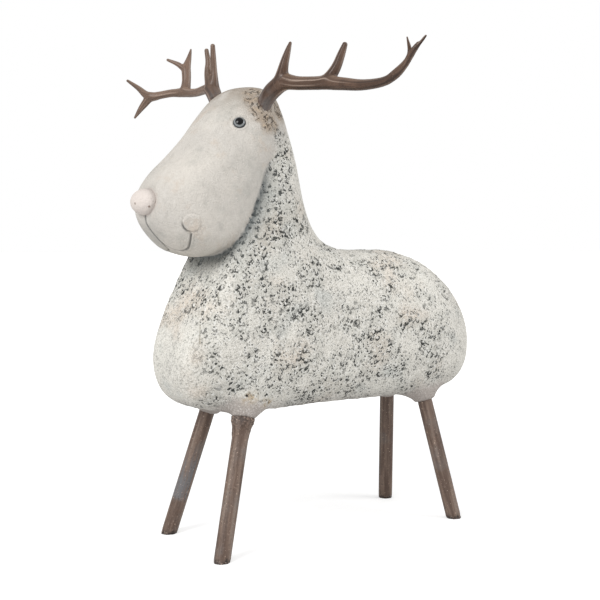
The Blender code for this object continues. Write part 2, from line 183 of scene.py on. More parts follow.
def closed_rings(rings, first, last):
    """Corners and faces of a skin over rings of equal length, closed by a point at each end."""
    count = len(rings[0])
    corners = np.vstack([*rings, first, last])
    faces = []
    for ring in range(len(rings) - 1):
        for side in range(count):
            other = (side + 1) % count
            a, b = ring * count + side, ring * count + other
            faces.append((a, b, b + count, a + count))
    top = (len(rings) - 1) * count
    for side in range(count):
        other = (side + 1) % count
        faces.append((other, side, len(corners) - 2))
        faces.append((top + side, top + other, len(corners) - 1))
    return corners, faces


def rib_skin(first_pole, ribs, last_pole):
    """The smooth skin over a row of superellipse ribs."""
    rows = [(*inner, *outer, width, square_in, square_out)
            for inner, outer, width, square_in, square_out in ribs]
    start = (*first_pole, *first_pole, 0, *rows[0][-2:])
    end = (*last_pole, *last_pole, 0, *rows[-1][-2:])
    angle = 2 * np.pi * np.arange(SKIN_SIDES) / SKIN_SIDES
    rings = []
    for row in smooth_path([start] + rows + [end], SKIN_RINGS_PER_RIB)[1:-1]:
        squareness = np.where(np.cos(angle) > 0, row[6], row[5])
        reach = rounded(np.cos(angle), squareness)
        across = row[4] * rounded(np.sin(angle), squareness)
        middle, half = (row[0:2] + row[2:4]) / 2, (row[2:4] - row[0:2]) / 2
        rings.append(np.stack([across, middle[0] + half[0] * reach, middle[1] + half[1] * reach], 1)
                     + at(0, 0, 0))
    return closed_rings(rings, at(0, *first_pole), at(0, *last_pole))


def turned_to(direction):
    """Two unit vectors square to a direction."""
    direction = np.array(direction) / norm(direction)
    side = np.cross(direction, (0, 0, 1) if abs(direction[2]) < 0.9 else (1, 0, 0))
    side /= norm(side)
    return side, np.cross(direction, side)


def turned_form(profile, place, direction, sides=48):
    """A form about a direction from a row of (radius one way, radius square to it, height)."""
    side, other = turned_to(direction)
    direction = np.array(direction) / norm(direction)
    angle = 2 * np.pi * np.arange(sides) / sides
    one, two = np.outer(np.cos(angle), side), np.outer(np.sin(angle), other)
    rings = [place + direction * height + one * wide + two * narrow for wide, narrow, height in profile]
    return closed_rings(rings, place + direction * profile[0][2],
                        place + direction * profile[-1][2])


def ellipsoid(centre, half_sizes, sides=64):
    tilts = np.pi * np.arange(1, sides // 2) / (sides // 2)
    profile = [(math.sin(tilt), math.sin(tilt), -math.cos(tilt)) for tilt in tilts]
    corners, faces = turned_form(profile, np.zeros(3), (0, 0, 1), sides)
    corners[-2], corners[-1] = (0, 0, -1), (0, 0, 1)
    return corners * np.array(half_sizes) + centre, faces


def branch_skin(rows, foot=None, sides=28):
    """The skin of a round branch along rows of (place, radius) in millimetres."""
    path = smooth_path(rows, 6)
    places, radii = path[:, :3], np.maximum(path[:, 3], 0.4)
    if foot is not None:
        places = np.vstack([foot[0], places])
        radii = np.append(foot[1], radii)
    ways = np.gradient(places, axis=0)
    ways /= norm(ways, axis=1)[:, None]
    side, _ = turned_to(ways[0])
    angle = 2 * np.pi * np.arange(sides) / sides
    rings = []
    for place, way, radius in zip(places, ways, radii):
        side = side - way * (side @ way)
        side /= norm(side)
        other = np.cross(way, side)
        rings.append(place + radius * (np.outer(np.cos(angle), side) + np.outer(np.sin(angle), other)))
    tip = places[-1] + ways[-1] * radii[-1] * 0.6
    return closed_rings(rings, places[0], tip)


def mesh_of(name, shells):
    """One mesh from several skins in millimetres."""
    corners, faces = [], []
    for places, sides in shells:
        start = sum(len(part) for part in corners)
        corners.append(places)
        faces += [tuple(index + start for index in face) for face in sides]
    mesh = bpy.data.meshes.new(name)
    mesh.from_pydata((np.vstack(corners) * MM).tolist(), [], faces)
    form = bmesh.new()
    form.from_mesh(mesh)
    bmesh.ops.recalc_face_normals(form, faces=form.faces)
    form.to_mesh(mesh)
    form.free()
    return mesh


def add_piece(name, mesh):
    piece = bpy.data.objects.new(name, mesh)
    bpy.context.scene.collection.objects.link(piece)
    return piece


def dress(piece, look):
    """A smooth piece in its material."""
    piece.data.shade_smooth()
    piece.data.materials.clear()
    piece.data.materials.append(look)


def baked(piece):
    """A piece takes its modifiers into its mesh."""
    bpy.context.view_layer.update()
    graph = bpy.context.evaluated_depsgraph_get()
    mesh = bpy.data.meshes.new_from_object(piece.evaluated_get(graph))
    piece.modifiers.clear()
    old, piece.data = piece.data, mesh
    bpy.data.meshes.remove(old)


def fused(name, shells, voxel):
    """Overlapping skins made one skin of even small squares."""
    piece = add_piece(name, mesh_of(name, shells))
    remesh = piece.modifiers.new("fuse", 'REMESH')
    remesh.mode = 'VOXEL'
    remesh.voxel_size = voxel * MM
    baked(piece)
    return piece


def read_rows(collection, key, width, kind=float):
    values = np.empty(len(collection) * width, kind)
    collection.foreach_get(key, values)
    return values.reshape(-1, width)


def read_places(mesh):
    return read_rows(mesh.vertices, "co", 3) / MM


def write_places(mesh, places):
    mesh.vertices.foreach_set("co", (places * MM).ravel())
    mesh.update()


def read_normals(mesh):
    return read_rows(mesh.vertex_normals, "vector", 3)


def edge_pairs(mesh):
    return read_rows(mesh.edges, "vertices", 2, np.int32)


def smoothed(places, pairs, rounds, weight):
    """Each place drawn half way to the mean of its neighbours, by its weight, again and again."""
    count = len(places)
    a, b = pairs[:, 0], pairs[:, 1]
    neighbours = np.bincount(pairs.ravel(), minlength=count)
    share = (0.5 * weight / neighbours)[:, None]
    for _ in range(rounds):
        total = np.stack([np.bincount(a, places[b, axis], count) + np.bincount(b, places[a, axis], count)
                          for axis in range(3)], 1)
        places = places + (total - places * neighbours[:, None]) * share
    return places


def store(mesh, rows):
    for name, values in rows.items():
        layer = mesh.attributes.new(name, 'FLOAT', 'POINT')
        layer.data.foreach_set("value", np.asarray(values, np.float32))


def ease(low, high, values):
    """A smooth step from 0 at low to 1 at high."""
    t = np.clip((values - low) / (high - low), 0, 1)
    return t * t * (3 - 2 * t)


def bell(values, width):
    """A bump of height 1 that falls away over the width."""
    return np.exp(-(values / width) ** 2)


def line_distance(places, line):
    """Each place's distance to a row of points, and how far along the row that is."""
    best = np.full(len(places), 1e9)
    where = np.zeros(len(places))
    length = 0.0
    for start, end in zip(line, line[1:]):
        run = end - start
        size = norm(run)
        t = np.clip((places - start) @ run / size ** 2, 0, 1)
        distance = norm(places - start - t[:, None] * run, axis=1)
        nearer = distance < best
        best = np.where(nearer, distance, best)
        where = np.where(nearer, length + t * size, where)
        length += size
    return best, where


def divided(mesh, chosen):
    """The edges between chosen corners are cut, and the faces round them."""
    form = bmesh.new()
    form.from_mesh(mesh)
    form.verts.ensure_lookup_table()
    edges = [edge for edge in form.edges if chosen[edge.verts[0].index] and chosen[edge.verts[1].index]]
    bmesh.ops.subdivide_edges(form, edges=edges, cuts=1, use_grid_fill=True)
    form.to_mesh(mesh)
    form.free()


def tree_of(shell):
    corners, faces = shell
    return BVHTree.FromPolygons([tuple(corner) for corner in corners], faces)


def depth_to(tree, places):
    return np.array([tree.find_nearest(place)[3] for place in places.tolist()])


# Casting: trunk, neck, head, nose and leg sockets fused, then smoothed and carved
trunk_skin = rib_skin(RUMP, TRUNK_RIBS, NECK_END)
head_skin = rib_skin(CROWN, HEAD_RIBS, CHIN)
nose_centre = at(*NOSE)
nose_skin = ellipsoid(nose_centre, NOSE_HALF_SIZES)


def leg_line(foot, lean, drop):
    """Where a rod leaves its socket, and its direction."""
    height = BELLY - drop
    end = np.array([foot[0] + lean[0] * height, foot[1] + lean[1] * height, height]) + SHIFT
    direction = np.array([*lean, 1.0])
    return end, direction / norm(direction)


def socket_skin(foot, lean, drop):
    """A leg socket whose skirt spreads along the belly."""
    end, direction = leg_line(foot, lean, drop)
    neck = ROD_RADIUS + SOCKET_WALL
    profile = [(neck * share, neck * share, 0) for share in (0.25, 0.5, 0.75)]
    for share in np.linspace(0, 1, 12):
        spread = share ** 1.3
        profile.append((neck + SKIRT_ALONG * spread, neck + SKIRT_ACROSS * spread, SKIRT_HEIGHT * share))
    profile += [(neck, neck, SOCKET_HEIGHT), (neck / 2, neck / 2, SOCKET_HEIGHT)]
    return turned_form(profile, end, direction)


casting = fused("casting", [trunk_skin, head_skin, nose_skin]
                + [socket_skin(*leg) for leg in LEGS.values()], CASTING_VOXEL)
mesh = casting.data
places = read_places(mesh)
pairs = edge_pairs(mesh)
head_tree, trunk_tree = tree_of(head_skin), tree_of(trunk_skin)
nose_tree = tree_of(nose_skin)


def up_and_back(places):
    """How far places are above the belly, and behind the figurine's middle."""
    return places[:, 2] - at(0, 0, 0)[2], places[:, 1] - at(0, 0, 0)[1]


def about(places, centre, direction):
    """How far places are along a direction from a centre, and how far off that line."""
    gap = places - centre
    height = gap @ direction
    return height, norm(gap - height[:, None] * direction, axis=1)


near_nose = ease(6, 2, depth_to(nose_tree, places))
up, back = up_and_back(places)
nape = ease(180, 196, up) * ease(240, 222, up) * ease(-72, -58, back)
places = smoothed(places, pairs, SKIN_ROUNDS, 1 - 0.7 * near_nose)
places = smoothed(places, pairs, NAPE_ROUNDS, nape)
socket_ends = [leg_line(*leg) for leg in LEGS.values()]
fillet = np.zeros(len(places))
for end, direction in socket_ends:
    height, radius = about(places, end, direction)
    fillet = np.maximum(fillet, ease(1.5, 4, height) * ease(26, 16, height) * ease(32, 22, radius))
places = smoothed(places, pairs, FILLET_ROUNDS, fillet)
write_places(mesh, places)


def nearest_skin(tree, place):
    location, normal, _, _ = tree.find_nearest(Vector(place))
    normal = np.array(normal)
    centre = at(0, -95, 180)
    if normal @ (np.array(location) - centre) < 0:
        normal = -normal
    return np.array(location), normal


# Rubbed brown patches round the feet of the antlers
SCARS = [((26, -71, 235), 7), ((32.5, -72.5, 228), 9), ((37, -70, 218), 10), ((38, -66, 212), 9),
         ((37, -61, 209), 6), ((30, -53, 221), 8), ((-26, -74, 232), 8), ((-34, -72, 224), 9)]

# Brown specks on the nose and the face, as (place, radius)
DOTS = [((2.9, -154, 152.5), 0.9), ((12.5, -147.5, 150.5), 0.9), ((22.3, -140.7, 155.3), 0.6),
        ((37.5, -78, 196), 0.6)]

# Specks in front of this are on the nose
NOSE_BACK = -142

# Lower front of a cheek, where its rim is cut deepest
LOW_FRONT = np.array([0.0, -0.75, -0.66])

# Depths and reaches of what is carved into the skin or raised on it, in millimetres
NOSE_GROOVE_DEPTH, NOSE_GROOVE_REACH = 2.6, 3.4
MOUTH_DEPTH, MOUTH_REACH = 1.1, 0.62
MOUTH_SWELL, MOUTH_SWELL_GAP = 0.22, 1.6
CHEEK_HEIGHT, CHEEK_GROOVE_DEPTH = 0.85, 0.9
CHEEK_GROOVE_RADIUS = CHEEK_RADIUS + 0.7
LID_HEIGHT, LID_RADIUS = 0.5, 5.6
LID_GROOVE_DEPTH, LID_GROOVE_RADIUS = 0.25, 6.9
DISC_DEPTH = 5
DAMAGE_DEPTH = 1.8
ANTLER_SWELL = 1.6


def on_face(point, side):
    return nearest_skin(head_tree, at(point[0] * side, *point[1:]))


mouth_lines = [smooth_path([on_face(point, side)[0] for point in line], 4)
               for line, side in ((LIP_CLEFT, 1), (SMILE, 1), (SMILE, -1))]
cheeks = [on_face(CHEEK, side) for side in (1, -1)]
eyes = [on_face(EYE, side) for side in (1, -1)]

# A hole, a crack and hairlines in the near side of the trunk, as (line, width)
DAMAGES = [([(38.6, -84, 14.6), (38.6, -82, 13.0)], 1.0), ([(38.6, -80, 13.9), (38.6, -78.5, 13.2)], 0.9),
           ([(38.5, -85, 10.8), (37, -80, 8.9), (36.5, -76, 9.2), (36, -70, 7.8), (34.8, -64, 8.2)], 0.6),
           ([(36.2, -105.8, 89.3), (37.5, -106.3, 85), (39.1, -105.9, 81)], 0.5),
           ([(31.7, -118, 66.8), (33, -118.5, 60), (34.9, -119.7, 54.4)], 0.5)]
damage_lines = [np.array([nearest_skin(trunk_tree, at(*point))[0] for point in line])
                for line, _ in DAMAGES]
damage_widths = [width for _, width in DAMAGES]


def scar_strength(places):
    return np.maximum.reduce([bell(norm(places - at(*spot), axis=1), reach) for spot, reach in SCARS])


def lines_distance(places, lines):
    return np.minimum.reduce([line_distance(places, line)[0] for line in lines])


def disc_distance(places, seats):
    return np.minimum.reduce([norm(places - seat, axis=1) for seat, _ in seats])


def nose_shell(places):
    """How far out places are from the middle of the nose, 1 on its surface."""
    return norm((places - nose_centre) / NOSE_HALF_SIZES, axis=1)


# The skin is divided three times, ever closer to the carved features
CUT_REACHES = ((6, 12, 12, 4.5), (3.4, 10, 9.5, 2.2), (1.7, 8, 0, 0))
for mouth_reach, cheek_reach, eye_reach, nose_reach in CUT_REACHES:
    places = read_places(mesh)
    to_mouth, to_cheek = lines_distance(places, mouth_lines), disc_distance(places, cheeks)
    chosen = (to_mouth < mouth_reach) | (to_cheek < cheek_reach)
    chosen |= disc_distance(places, eyes) < eye_reach
    chosen |= depth_to(nose_tree, places) < nose_reach
    chosen |= lines_distance(places, damage_lines) < mouth_reach * 0.8
    if nose_reach:
        chosen |= scar_strength(places) > 0.35
    if not eye_reach:
        chosen &= (to_mouth < mouth_reach) | (to_cheek > CHEEK_RADIUS - 1.6)
    divided(mesh, chosen)
places = read_places(mesh)
pairs = edge_pairs(mesh)
fine = (ease(5, 3, lines_distance(places, mouth_lines)) + ease(12, 9, disc_distance(places, cheeks))
        + ease(12, 9, disc_distance(places, eyes)))
places = smoothed(places, pairs, DETAIL_ROUNDS, np.clip(fine, 0, 1))
write_places(mesh, places)
normals = read_normals(mesh)

# Carving along the normals
push = np.zeros(len(places))
to_nose = depth_to(nose_tree, places)
push -= NOSE_GROOVE_DEPTH * bell(to_nose, NOSE_GROOVE_REACH) * (nose_shell(places) > 1.06)
to_mouth = lines_distance(places, mouth_lines)
push -= MOUTH_DEPTH * bell(to_mouth, MOUTH_REACH)
push += MOUTH_SWELL * bell(to_mouth - MOUTH_SWELL_GAP, 0.6)
for seat, facing in cheeks:
    height, radius = about(places, seat, facing)
    near = np.abs(height) < DISC_DEPTH
    push += near * CHEEK_HEIGHT * ease(CHEEK_RADIUS + 0.8, CHEEK_RADIUS - 0.7, radius)
    groove = near * bell(radius - CHEEK_GROOVE_RADIUS, 0.5)
    lower = ease(0.45, 0.85, ((places - seat) @ LOW_FRONT) / np.maximum(radius, 1))
    push -= groove * (0.05 + CHEEK_GROOVE_DEPTH * lower)
    push += 0.12 * near * bell(radius - CHEEK_RADIUS - 2.2, 0.9)
for seat, facing in eyes:
    height, radius = about(places, seat, facing)
    near = np.abs(height) < DISC_DEPTH
    push += near * LID_HEIGHT * bell(radius - LID_RADIUS, 0.7)
    push -= near * LID_GROOVE_DEPTH * bell(radius - LID_GROOVE_RADIUS, 0.7)
for line, width in zip(damage_lines, damage_widths):
    push -= DAMAGE_DEPTH * bell(line_distance(places, line)[0], width)
for side, points in ((1, LEFT_ANTLER["beam"]), (-1, RIGHT_ANTLER["beam"])):
    stem = [at(side * out, along, high) for out, along, high, _ in points[:3]]
    stem.insert(0, 2 * stem[0] - stem[1])
    push += ANTLER_SWELL * ease(11, 6.5, line_distance(places, stem)[0])
places += normals * push[:, None]

# The nose is drawn back to an even ball
shell = nose_shell(places)
on_nose = ease(1.12, 1.04, shell) * (shell < 1.2)
places += (on_nose * (1 / shell - 1))[:, None] * (places - nose_centre)
write_places(mesh, places)
normals = read_normals(mesh)

# What the materials and the pressed marks read from the corners
to_head, to_trunk = depth_to(head_tree, places), depth_to(trunk_tree, places)
up, back = up_and_back(places)
blend = 0.6 + 8 * ease(180, 210, up)
face = np.maximum(ease(-blend, blend, to_trunk - to_head), on_nose)
rump = ease(95, 135, back)
chest = ease(-108, -124, back) * ease(99, 49, up)
behind_ear = ease(-64, -56, back) * ease(211, 204, up)
neck_back = ease(0.35, 0.8, normals[:, 1]) * ease(85, 140, up)
dense = bell(to_head, 18) * (1 - face) * ease(100, 120, up)
lip = ease(-124, -134, back)
by_socket = np.zeros(len(places))
for end, direction in socket_ends:
    height, radius = about(places, end, direction)
    by_socket = np.maximum(by_socket, ease(26, 15, radius) * ease(17, 9, height))
pitting = (np.maximum(1 - face, behind_ear) * (1 - 0.9 * rump) * (1 - 0.75 * chest)
           * (1 - 0.85 * neck_back) * (1 - by_socket))
# Painted shadow: each cheek rim is darkened only in its lower front arc
rim = np.zeros(len(places))
for seat, facing in cheeks:
    height, radius = about(places, seat, facing)
    lower = ease(0.5, 0.85, ((places - seat) @ LOW_FRONT) / np.maximum(radius, 1))
    groove = bell(radius - CHEEK_GROOVE_RADIUS, 0.8)
    rim = np.maximum(rim, groove * lower * (np.abs(height) < DISC_DEPTH))
dots = np.zeros(len(places))
for spot, size in DOTS:
    middle = nearest_skin(nose_tree if spot[1] < NOSE_BACK else head_tree, at(*spot))[0]
    dots = np.maximum(dots, ease(size * 1.3, size * 0.6, norm(places - middle, axis=1)))
store(mesh, {
    "face": face,
    # painted shade and grime in the crease between head and trunk
    "crease": bell(np.maximum(to_head, to_trunk), 3.4 - 2 * face) * ease(196, 160, up),
    # painted shade on the neck under the head
    "under_head": bell(to_head, 11) * (1 - face) * ease(190, 140, up),
    # painted shadow in the lower arcs of the cheek rims
    "cheek_rim_shadow": rim,
    # painted shade in the crevice where the nose meets the muzzle
    "nose_rim_shade": bell((nose_shell(places) - 1) * 10, 0.9) * ease(NOSE[1] - 4, NOSE[1] + 1, back),
    "scar": scar_strength(places),
    "crown": face * ease(200, 240, up + 0.35 * (back + 60)),
    # painted shade and grime low on the trunk, towards the belly
    "low": (1 - face) * ease(12, -6, up),
    "pitting": np.clip(pitting, 0, 1) * (1 + 0.3 * dense),
    "socket": by_socket,
    "mouth": (0.7 + 0.3 * lip) * bell(to_mouth, 0.72 + 0.4 * lip),
    "nose": on_nose,
    "damage": np.maximum.reduce([bell(line_distance(places, line)[0], width * 1.2)
                                 for line, width in zip(damage_lines, damage_widths)]),
    "rust": bell(lines_distance(places, damage_lines), 3.5) * (up < 30),
    "dots": dots})


class Graph:
    """Small helpers that add nodes to a shader or geometry tree."""

    def __init__(self, tree):
        self.tree = tree

    def node(self, kind, inputs=None, **settings):
        node = self.tree.nodes.new(kind)
        for key, value in settings.items():
            setattr(node, key, value)
        for key, value in (inputs or {}).items():
            self.feed(node.inputs[key], value)
        return node

    def feed(self, socket, value):
        if isinstance(value, bpy.types.NodeSocket):
            self.tree.links.new(value, socket)
        else:
            socket.default_value = value

    def maths(self, operation, a, b=0.0):
        return self.node('ShaderNodeMath', {0: a, 1: b}, operation=operation).outputs[0]

    def times(self, a, b):
        return self.maths('MULTIPLY', a, b)

    def plus(self, a, b):
        return self.maths('ADD', a, b)

    def less(self, a, b):
        return self.maths('SUBTRACT', a, b)

    def most(self, a, b):
        return self.maths('MAXIMUM', a, b)

    def vector(self, operation, a, b=(0, 0, 0)):
        node = self.node('ShaderNodeVectorMath', {0: a, 1: b}, operation=operation)
        return node.outputs["Value"] if operation in ('DOT_PRODUCT', 'LENGTH') else node.outputs[0]

    def scaled(self, a, scale):
        return self.node('ShaderNodeVectorMath', {0: a, "Scale": scale}, operation='SCALE').outputs[0]

    def step(self, value, low, high):
        node = self.node('ShaderNodeMapRange', {0: value, 1: low, 2: high}, interpolation_type='SMOOTHSTEP')
        return node.outputs[0]

    def noise(self, place, scale, detail=2.0, roughness=0.5, output=0):
        node = self.node('ShaderNodeTexNoise', {"Vector": place, "Scale": scale, "Detail": detail,
                                                "Roughness": roughness})
        return node.outputs[output]

    def noise_step(self, place, scale, detail, low, high, roughness=0.5):
        return self.step(self.noise(place, scale, detail, roughness), low, high)

    def attribute(self, name):
        return self.node('ShaderNodeAttribute', attribute_name=name).outputs["Fac"]

    def mix(self, share, a, b):
        node = self.node('ShaderNodeMix', data_type='RGBA', blend_type='MIX')
        for index, value in ((0, share), (6, a), (7, b)):
            self.feed(node.inputs[index], colour(value) if isinstance(value, tuple) else value)
        return node.outputs[2]

    def coats(self, base, rows):
        """Colours laid over the base in turn, from rows of (node or attribute, share, colour)."""
        for where, share, paint in rows:
            where = self.attribute(where) if isinstance(where, str) else where
            base = self.mix(self.times(where, share), base, paint)
        return base

    def bump(self, shader, height, distance, strength):
        bump = self.node('ShaderNodeBump', {"Height": height, "Distance": distance * MM,
                                            "Strength": strength})
        self.feed(shader.inputs["Normal"], bump.outputs[0])


def colour(paint):
    """An sRGB colour of 0 to 255 as the numbers that a shader takes."""
    def linear(value):
        value /= 255
        return value / 12.92 if value <= 0.04045 else ((value + 0.055) / 1.055) ** 2.4
    return (*(linear(value) for value in paint), 1.0)


# Directions in which the marks run and curve, and the side of each stroke that carries its painted highlight
HIGHLIGHT_SIDE = (0.4, 0.6, -0.7)
FALLING, RISING = (0.37, 0.57, -0.73), (0.37, 0.57, 0.73)
BIG_TURN, SMALL_TURN = (0.5, 0.5, -0.5), (0.5, 0.6, -0.4)
SCRATCH_DOWN, SCRATCH_FORWARD = (0.2, 0.62, -0.76), (0.1, -0.7, -0.7)


def wobbled(graph, place, scale, reach):
    """Places pushed about by a noise, so that the marks on them bend."""
    wobble = graph.vector('SUBTRACT', graph.noise(place, scale, 1, output=1), (0.5, 0.5, 0.5))
    return graph.vector('ADD', place, graph.scaled(wobble, reach * MM))


def loose_cells(graph, place, cell, randomness, channel, share):
    """Cells of a loose pattern: distance and way from their middles, their shades, and which are kept."""
    cells = graph.node('ShaderNodeTexVoronoi', {"Vector": place, "Scale": 1 / (cell * MM),
                                                "Randomness": randomness})
    shade = cells.outputs["Color"]
    away = graph.vector('NORMALIZE', graph.vector('SUBTRACT', place, cells.outputs["Position"]))
    split = graph.node('ShaderNodeSeparateXYZ', {0: shade}).outputs[channel]
    kept = graph.step(split, share + 0.02, share - 0.02)
    return graph.times(cells.outputs["Distance"], cell), away, shade, kept


def arc_marks(graph, place, cell, radius, width, share, seed, turn):
    """Thin arcs and the pale buttons inside them, one in some cells of a loose pattern."""
    moved = graph.vector('ADD', place, (seed * 0.137, seed * 0.071, seed * 0.053))
    distance, away, shade, kept = loose_cells(graph, moved, cell, 0.95, 2, share)
    ring = graph.step(graph.maths('ABSOLUTE', graph.less(distance, radius)), width, width * 0.3)
    random = graph.scaled(graph.vector('SUBTRACT', shade, (0.5, 0.5, 0.5)), 2.6)
    way = graph.vector('NORMALIZE', graph.vector('ADD', random, turn))
    side = graph.step(graph.vector('DOT_PRODUCT', away, way), -0.1, 0.45)
    arc = graph.times(graph.times(ring, side), kept)
    button = graph.times(graph.step(distance, radius * 0.75, radius * 0.3), kept)
    return arc, button


def stroke_marks(graph, place, cell, radius, share, seed, along, stretch):
    """Short strokes along one direction in some cells of a loose pattern, and painted highlights on their
    lower lips.
    """
    moved = graph.vector('ADD', place, (seed * 0.091, seed * 0.173, seed * 0.037))
    run = graph.vector('DOT_PRODUCT', moved, along)
    moved = graph.vector('ADD', moved, graph.scaled(along, graph.times(run, 1 / stretch - 1)))
    distance, away, _, kept = loose_cells(graph, moved, cell, 1.0, 0, share)
    dot = graph.step(distance, radius, radius * 0.55)
    # The pale lip on the lower side of each stroke is a painted highlight
    below = graph.step(graph.vector('DOT_PRODUCT', away, HIGHLIGHT_SIDE), 0.0, 0.5)
    lip = graph.times(graph.step(distance, radius * 2.1, radius * 1.3), below)
    return graph.times(dot, kept), graph.times(lip, kept)


def pit_marks(graph, place, spread):
    """Marks pressed into the trunk, their pale buttons, the painted highlights on their lips, and the patches
    they gather in.
    """
    bent = wobbled(graph, place, 450, 2.6)
    dense = graph.most(graph.less(spread, 1), 0)
    spread = graph.maths('MINIMUM', spread, 1)
    patch = graph.plus(graph.noise(place, 48, 2.5, 0.6), graph.times(dense, 0.5))
    gathered = graph.times(graph.step(patch, 0.42, 0.56), spread)
    loose = graph.times(graph.step(patch, 0.28, 0.48), spread)
    big, big_button = arc_marks(graph, bent, 6.0, 2.0, 0.8, 0.60, 1, BIG_TURN)
    small, small_button = arc_marks(graph, bent, 3.8, 1.2, 0.6, 0.60, 2, SMALL_TURN)
    falling, falling_highlight = stroke_marks(graph, bent, 2.0, 0.62, 0.60, 3, FALLING, 2.3)
    rising, rising_highlight = stroke_marks(graph, bent, 2.3, 0.58, 0.42, 4, RISING, 1.8)
    fine, _ = stroke_marks(graph, bent, 1.5, 0.5, 0.40, 7, FALLING, 1.6)
    arcs = graph.times(graph.most(big, small), gathered)
    strokes = graph.times(graph.most(graph.most(falling, rising), graph.times(fine, 0.6)), loose)
    highlight_lips = graph.times(graph.most(falling_highlight, rising_highlight), loose)
    buttons = graph.times(graph.most(big_button, small_button), gathered)
    return graph.most(arcs, strokes), buttons, highlight_lips, gathered


# Heights of the pressed relief in millimetres
MARK_DEPTH = 0.5
BUTTON_SHARE = 0.4
LUMP_HEIGHT = 2.2
SCAR_HEIGHT = 3.5


def relief_group(depth, probe_name=None):
    """A modifier that presses the marks into a surface, or only records where they are."""
    tree = bpy.data.node_groups.new("pressed_marks", 'GeometryNodeTree')
    for way in ('INPUT', 'OUTPUT'):
        tree.interface.new_socket("Geometry", in_out=way, socket_type='NodeSocketGeometry')
    graph = Graph(tree)
    start, end = graph.node('NodeGroupInput'), graph.node('NodeGroupOutput')
    place = graph.node('GeometryNodeInputPosition').outputs[0]
    spread, scar = (graph.node('GeometryNodeInputNamedAttribute', {"Name": name},
                               data_type='FLOAT').outputs[0] for name in ("pitting", "scar"))
    marks, buttons, _, _ = pit_marks(graph, place, spread)
    if probe_name:
        last = graph.node('GeometryNodeStoreNamedAttribute', {"Geometry": start.outputs[0],
                                                              "Name": probe_name},
                          data_type='FLOAT', domain='POINT')
        value_socket = next(socket for socket in last.inputs if socket.name == "Value" and socket.enabled)
        graph.feed(value_socket, marks)
    else:
        lumps = graph.times(graph.less(graph.noise(place, 110, 2), 0.55), spread)
        ragged = graph.times(graph.less(graph.noise(place, 170, 4, 0.7), 0.5), scar)
        height = graph.less(graph.times(buttons, depth * BUTTON_SHARE * MM), graph.times(marks, depth * MM))
        height = graph.plus(height, graph.times(lumps, LUMP_HEIGHT * MM))
        height = graph.plus(height, graph.times(ragged, SCAR_HEIGHT * MM))
        offset = graph.scaled(graph.node('GeometryNodeInputNormal').outputs[0], height)
        last = graph.node('GeometryNodeSetPosition', {"Geometry": start.outputs[0], "Offset": offset})
    graph.feed(end.inputs[0], last.outputs[0])
    return tree


def with_group(piece, tree):
    piece.modifiers.new("marks", 'NODES').node_group = tree
    baked(piece)
    bpy.data.node_groups.remove(tree)


def new_material(name, roughness, specular=0.5):
    material = bpy.data.materials.new(name)
    material.use_nodes = True
    material.node_tree.nodes.clear()
    graph = Graph(material.node_tree)
    shader = graph.node('ShaderNodeBsdfPrincipled')
    shader.inputs["Roughness"].default_value = roughness
    shader.inputs["Specular IOR Level"].default_value = specular
    graph.node('ShaderNodeOutputMaterial', {"Surface": shader.outputs[0]})
    place = graph.node('ShaderNodeTexCoord').outputs["Object"]
    return material, graph, shader, place


# Colours of the casting: wash, face, stains, scars, marks, painted highlights, painted shade, grime and
# damage
WASH_LIGHT, WASH_DARK = (230, 227, 218), (217, 213, 204)
BEIGE_STAIN, GREY_STAIN = (218, 198, 178), (180, 186, 184)
SKIN_LIGHT, SKIN_DARK = (215, 209, 200), (201, 196, 189)
SKIN_GREY, SKIN_BEIGE = (172, 171, 164), (196, 176, 156)
BRUSH_DARK, BRUSH_LIGHT = (160, 156, 148), (228, 224, 217)
NOSE_PINK, SOCKET_SHADE_AND_DIRT = (223, 213, 206), (174, 164, 158)
CROWN_STAIN = (143, 129, 113)
SCAR_BROWN, SCAR_PALE, SCRATCH = (158, 140, 120), (206, 186, 160), (70, 57, 45)
GRAIN_DARK, GRAIN_PALE = (140, 141, 134), (238, 236, 231)
# The pale of the whitewashed buttons and of the painted highlights on the strokes' lips
PATCH_WASH, PALE_WASH_AND_HIGHLIGHT = (168, 170, 163), (240, 239, 234)
PIT_GREY, PIT_BLACK = (64, 68, 65), (24, 27, 26)
HEAD_SHADE, CREASE_SHADE_AND_GRIME, LOW_SHADE_AND_GRIME = (116, 122, 122), (64, 74, 79), (158, 148, 142)
CARVED_LINE, NOSE_CREVICE_SHADE = (64, 68, 70), (132, 124, 118)
RUST, HOLE, SPECK = (166, 140, 98), (52, 48, 44), (104, 78, 60)


